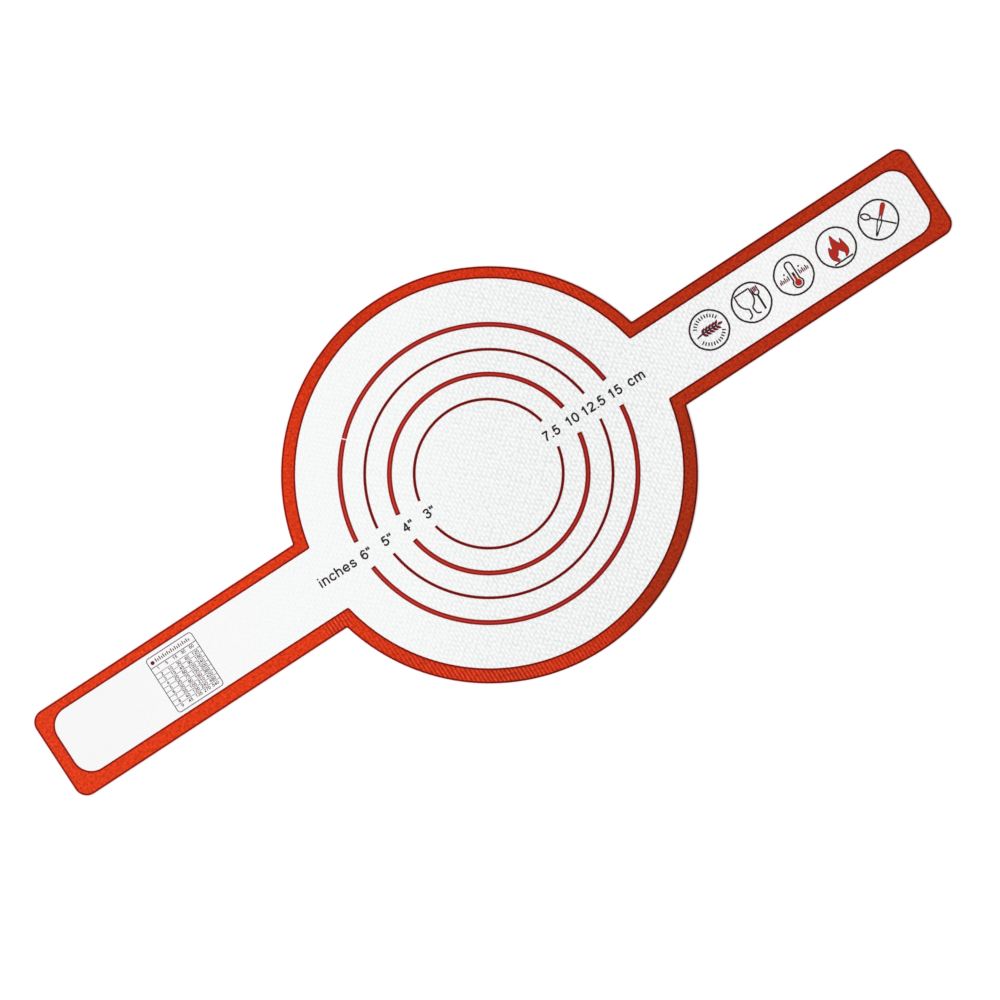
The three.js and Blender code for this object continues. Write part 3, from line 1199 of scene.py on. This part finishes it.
class SLING_OT_labels(bpy.types.Operator):
    """Builds the figures that label the measuring rings in centimetres and inches"""

    bl_idname = "sling.labels"
    bl_label = "Ring labels"

    def execute(self, context):
        sizes = context.scene.sling_sizes
        line = sizes.label_line
        ink = flat_ink("label_ink", context.scene.sling_colours.charcoal, sizes)
        centimetres = Print(sizes)
        inches = Print(sizes)
        for figure, x in CM_PLACES.items():
            centimetres.letters(figure, at(x, CM_BASE), line, ink, align=0.5)
        for inch in (3, 4, 5, 6):
            start = at(-INCH_START - inch * HALF_INCH, INCH_BASE)
            inches.letters(f'{inch}"', start, line, ink)
        larger = scaled(sizes.unit_scale)
        centimetres.letters("cm", at(CM_UNIT, UNIT_BASE) @ larger, line, ink)
        inches.letters("inches", at(INCH_UNIT, UNIT_BASE) @ larger, line, ink)
        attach(centimetres.finish("centimetre_labels"), "disc")
        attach(inches.finish("inch_labels"), "disc")
        return {"FINISHED"}


class SLING_OT_pictograms(bpy.types.Operator):
    """Builds five round pictograms along the right strap"""

    bl_idname = "sling.pictograms"
    bl_label = "Pictograms"

    def execute(self, context):
        sizes = context.scene.sling_sizes
        colours = context.scene.sling_colours
        self.line = sizes.sign_line
        self.dark = flat_ink("sign_charcoal", colours.charcoal, sizes)
        self.red = flat_ink("sign_red", colours.mark_red, sizes)
        self.maroon = flat_ink("sign_maroon", colours.maroon, sizes)
        signs = (self.wheat, self.goblet_and_fork, self.thermometer, self.flame, self.knife_and_spoon)
        circle = circle_points(0, 0, sizes.roundel_radius / MM)
        for i, draw in enumerate(signs):
            x = sizes.first_roundel + i * sizes.roundel_step
            place = at(x, sizes.roundel_across)
            marks = Print(sizes)
            marks.lines([circle], sizes.roundel_line, place, self.dark, closed=True)
            draw(marks, place)
            piece = marks.finish(f"pictogram_{draw.__name__}")
            if x - sizes.roundel_radius - sizes.roundel_line < bend_end(sizes):
                bend_with_strap(piece, "right", sizes)
            else:
                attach(piece, "right_strap")
        return {"FINISHED"}

    def wheat(self, marks, place):
        """An ear of wheat between two rows of rays."""
        for middle in (90, -90):
            roots = arc_points(0, 0, 6.3, middle - 58, middle + 58, 11)
            rays = [[(x, y), (1.3 * x, 1.3 * y)] for x, y in roots]
            marks.lines(rays, 0.8 * self.line, place, self.dark)
        marks.lines([[(-7.4, -0.5), (-4.5, 0.0), (4.6, 0.0)]], self.line, place, self.dark)
        grain = [
            (0.0, 0.0, True), (1.1, 0.75), (2.6, 0.4), (3.3, 0.0, True), (2.4, -0.5), (1.1, -0.6)
        ]
        for x in (-4.2, -2.3, -0.4, 1.5, 3.4):
            for side in (1, -1):
                root = place @ at(x * MM, 0.25 * MM * side)
                marks.fill(grain, root @ turned(side * math.radians(42)), self.maroon)
        marks.fill(grain, place @ at(4.6 * MM, 0.0), self.maroon)

    def goblet_and_fork(self, marks, place):
        """A goblet and a fork, side by side."""
        goblet = [
            (-5.3, -6.8), (-3.5, -6.0), (-2.95, -4.2), (-2.95, -2.4), (-4.6, -0.9), (-5.85, 1.3),
            (-5.95, 6.8, True), (2.3, 6.8, True), (2.2, 1.3), (0.95, -0.9), (-0.7, -2.4),
            (-0.7, -4.2), (-0.15, -6.0), (1.7, -6.8),
        ]
        marks.lines([goblet], self.line, place, self.dark)
        tines = [[(x, 6.3), (x, 3.6)] for x in (3.3, 4.2, 5.1, 6.0)]
        marks.lines(tines, 0.85 * self.line, place, self.maroon)
        root = [(3.3, 3.7), (3.5, 2.4), (4.6, 1.7), (5.8, 2.4), (6.0, 3.7)]
        marks.lines([root], self.line, place, self.dark)
        marks.lines([[(4.6, 1.7), (4.55, -2.5), (4.4, -6.5)]], 1.3 * self.line, place, self.dark)

    def thermometer(self, marks, place):
        """A thermometer with a red bulb between two scales."""
        sides = [[(x, 4.0 - 1.8 * i) for i in range(4)] for x in (-1.75, 1.75)]
        bulb = arc_points(0, -4.4, 2.6, 132, 408, 9)
        glass = arc_points(0, 5.5, 1.75, 0, 180, 5) + sides[0] + bulb + sides[1][::-1]
        marks.lines([glass], self.line, place, self.dark, closed=True)
        marks.fill(circle_points(0, -4.4, 1.75), place, self.red)
        marks.lines([[(0, -3.4), (0, -0.6)]], 1.6 * self.line, place, self.red)
        marks.lines([[(0, -0.6), (0, 1.4)]], 1.6 * self.line, place, self.dark)
        for side in (-1, 1):
            places = [(side * (3.2 + 0.95 * i), 1.3 - 0.9 * (i % 2)) for i in range(6)]
            ticks = [[(x, -1.3), (x, top)] for x, top in places]
            marks.lines(ticks, 0.75 * self.line, place, self.maroon)
            marks.fill(circle_points(side * 4.2, 2.6, 0.5), place, self.dark)

    def flame(self, marks, place):
        """A flame over a short line."""
        fire = [
            (-1.9, -6.5), (-4.2, -5.0), (-4.8, -2.2), (-3.4, 1.8, True), (-2.5, 0.2), (-1.3, 2.8),
            (0.1, 6.7, True), (1.1, 3.4), (2.2, 1.2), (2.7, 0.6), (3.7, 3.1, True), (4.6, -0.6),
            (4.9, -3.2), (4.0, -5.4), (2.0, -6.5, True), (2.5, -4.5), (1.5, -3.0), (0.2, -1.3, True),
            (-0.9, -3.4), (-2.2, -4.6),
        ]
        marks.fill(fire, place, self.red)
        marks.lines([fire], 0.75 * self.line, place, self.maroon, closed=True)
        marks.lines([[(-5.4, -7.4), (5.4, -7.4)]], self.line, place, self.dark)

    def knife_and_spoon(self, marks, place):
        """A red-handled knife across a spoon."""
        spoon = place @ turned(math.radians(-45))
        bowl = [(-9.0, 0.0), (-8.0, 1.1), (-6.0, 1.35), (-4.3, 0.0), (-6.0, -1.35), (-8.0, -1.1)]
        marks.lines([bowl], self.line, spoon, self.dark, closed=True)
        marks.lines([[(-4.3, 0.0), (9.2, 0.0)]], self.line, spoon, self.dark)
        knife = place @ at(0.6 * MM, -0.4 * MM) @ turned(math.radians(46.6))
        handle = [
            (2.2, -0.8, True), (5.0, -0.95), (7.4, -1.05), (8.4, -0.6), (8.6, 0.0),
            (8.4, 0.6), (7.4, 1.05), (5.0, 0.95), (2.2, 0.8, True),
        ]
        marks.fill(handle, knife, self.red)
        marks.lines([handle], 0.5 * self.line, knife, self.maroon, closed=True)
        blade = [(2.2, 0.6), (0.9, 0.6), (-0.6, 1.0), (-4.0, 0.7), (-7.4, 0.25)]
        for side in (-1, 1):
            edge = [(x, y * side) for x, y in blade]
            marks.lines([edge], 0.8 * self.line, knife, self.dark)
        marks.fill([(-6.4, 0.55), (-8.6, 0.1), (-8.6, -0.1), (-6.4, -0.55)], knife, self.dark)


class SLING_OT_table(bpy.types.Operator):
    """Builds the table of measures on the left strap"""

    bl_idname = "sling.table"
    bl_label = "Table of measures"

    def execute(self, context):
        sizes = context.scene.sling_sizes
        colours = context.scene.sling_colours
        grey_ink = flat_ink("table_grey", colours.table_grey, sizes)
        inks = [
            flat_ink("table_charcoal", colours.charcoal, sizes),
            flat_ink("table_maroon", colours.maroon, sizes),
        ]
        half_width, half_height, _ = TABLE_FRAME
        head = half_height - TABLE_HEAD
        tops = [head, *(head - TABLE_FIRST - i * TABLE_ROW for i in range(TABLE_ROWS - 1))]
        rules = [[(-half_width, y), (half_width, y)] for y in tops]
        marks = Print(sizes, FIGURE_STEPS)
        place = at(sizes.table_along, sizes.table_across)
        marks.lines([self.frame_line()], sizes.table_line, place, grey_ink, closed=True)
        marks.lines(rules[:1], HEAD_RULE * sizes.table_line, place, grey_ink)
        marks.lines(rules[1:], ROW_RULE * sizes.table_line, place, grey_ink)
        self.head(marks, place, sizes.table_line, inks[1])
        smaller = scaled(sizes.figure_scale)
        for row, y in enumerate(tops, 1):
            for column, factor in enumerate(MEASURES):
                x = -half_width + TABLE_COLUMN * (column + 0.5) + FIGURE_ALONG
                spot = place @ at(x * MM, (y - FIGURE_DOWN) * MM) @ smaller
                ink = inks[(row + column) % 2]
                marks.letters(str(row * factor), spot, sizes.figure_line, ink, align=0.5)
        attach(marks.finish("measure_table"), "left_strap")
        return {"FINISHED"}

    def frame_line(self):
        """Points round the table's frame, with rounded corners."""
        half_width, half_height, corner = TABLE_FRAME
        line = []
        for turn, x, y in ((0, 1, 1), (90, -1, 1), (180, -1, -1), (270, 1, -1)):
            centre = (x * (half_width - corner), y * (half_height - corner))
            points = arc_points(*centre, corner, turn, turn + 90, 3)
            line += [(*points[0], True), points[1], (*points[2], True)]
        return line

    def head(self, marks, place, line, ink):
        """A dot and a row of ticks in the table's head."""
        half_width, half_height, _ = TABLE_FRAME
        dot_x, dot_down, dot_radius = HEAD_DOT
        dot = circle_points(-half_width + dot_x, half_height - dot_down, dot_radius)
        marks.fill(dot, place, ink)
        for i in range(HEAD_TICKS):
            x = -half_width + TICK_FIRST + TICK_STEP * i
            tick = [(x, half_height - TICK_FOOT), (x, half_height - TICK_TOPS[i % 2])]
            marks.lines([tick], TICK_LINE * line, place, ink)


class SLING_OT_stage(bpy.types.Operator):
    """Sets up the floor, the light, the background and the camera"""

    bl_idname = "sling.stage"
    bl_label = "Stage"

    def execute(self, context):
        stage = context.scene.sling_stage
        self.floor(stage)
        self.light(stage)
        self.sky(context.scene, stage)
        self.camera(context.scene, stage)
        context.scene.view_settings.view_transform = "Standard"
        return {"FINISHED"}

    def floor(self, stage):
        """A white floor that keeps the sling's shadow."""
        bm = bmesh.new()
        bmesh.ops.create_grid(bm, x_segments=1, y_segments=1, size=stage.floor_size / 2)
        bmesh.ops.translate(bm, verts=bm.verts[:], vec=(0, 0, -FLOOR_DROP))
        floor = add_object("floor", as_mesh("floor", bm))
        material = bpy.data.materials.new("floor_white")
        material.use_nodes = True
        nodes = Nodes(material.node_tree)
        nodes.tree.nodes.remove(nodes.tree.nodes["Principled BSDF"])
        matt = nodes.node("ShaderNodeBsdfDiffuse", {"Color": (*grey(stage.floor_shade), 1.0)})
        strength = nodes.math("MULTIPLY", nodes.seen(), 1.0 - stage.floor_shade + FLOOR_GLOW)
        glow = nodes.node("ShaderNodeEmission", {"Strength": strength})
        both = nodes.node("ShaderNodeAddShader", {0: matt.outputs[0], 1: glow.outputs[0]})
        nodes.put(nodes.tree.nodes["Material Output"].inputs["Surface"], both.outputs[0])
        floor.data.materials.append(material)

    def light(self, stage):
        """A soft key light from one side."""
        data = bpy.data.lights.new("key", "SUN")
        data.energy = stage.key_strength
        data.angle = stage.key_softness
        key = add_object("key", data)
        key.rotation_euler = (0.0, QUARTER_TURN - stage.key_height, stage.key_side)

    def sky(self, scene, stage):
        """Even light from all sides, which looks white to the camera."""
        world = bpy.data.worlds.new("studio")
        world.use_nodes = True
        scene.world = world
        nodes = Nodes(world.node_tree)
        inputs = {"Value": nodes.seen(), "To Min": stage.sky_strength, "To Max": 1.0}
        strength = nodes.node("ShaderNodeMapRange", inputs).outputs[0]
        background = nodes.tree.nodes["Background"]
        nodes.put(background.inputs["Color"], (1.0, 1.0, 1.0, 1.0))
        nodes.put(background.inputs["Strength"], strength)

    def camera(self, scene, stage):
        """A camera over the sling, turned so that the right strap points up to the right."""
        data = bpy.data.cameras.new("camera")
        data.lens = stage.lens
        data.sensor_width = stage.sensor
        data.clip_start = NEAREST
        camera = add_object("camera", data)
        camera.location = stage.camera_place
        camera.rotation_euler = stage.camera_turn
        scene.camera = camera


class SLING_PT_panel(bpy.types.Panel):
    """Lists the steps that build the sling"""

    bl_idname = "SLING_PT_panel"
    bl_label = "Bread Sling"
    bl_space_type = "VIEW_3D"
    bl_region_type = "UI"
    bl_category = "Bread Sling"

    def draw(self, context):
        for operator in OPERATORS:
            self.layout.operator(operator.bl_idname)


GROUPS = {"sling_sizes": SlingSizes, "sling_colours": SlingColours, "sling_stage": SlingStage}
OPERATORS = (
    SLING_OT_sheets, SLING_OT_border, SLING_OT_rings, SLING_OT_labels, SLING_OT_pictograms,
    SLING_OT_table, SLING_OT_stage,
)


def register():
    for name, group in GROUPS.items():
        bpy.utils.register_class(group)
        setattr(bpy.types.Scene, name, PointerProperty(type=group))
    for kind in (*OPERATORS, SLING_PT_panel):
        bpy.utils.register_class(kind)


def unregister():
    for kind in (SLING_PT_panel, *reversed(OPERATORS)):
        bpy.utils.unregister_class(kind)
    for name, group in GROUPS.items():
        delattr(bpy.types.Scene, name)
        bpy.utils.unregister_class(group)


def main():
    register()
    bpy.ops.sling.sheets()
    bpy.ops.sling.border()
    bpy.ops.sling.rings()
    bpy.ops.sling.labels()
    bpy.ops.sling.pictograms()
    bpy.ops.sling.table()
    bpy.ops.sling.stage()


if __name__ == "__main__":
    main()
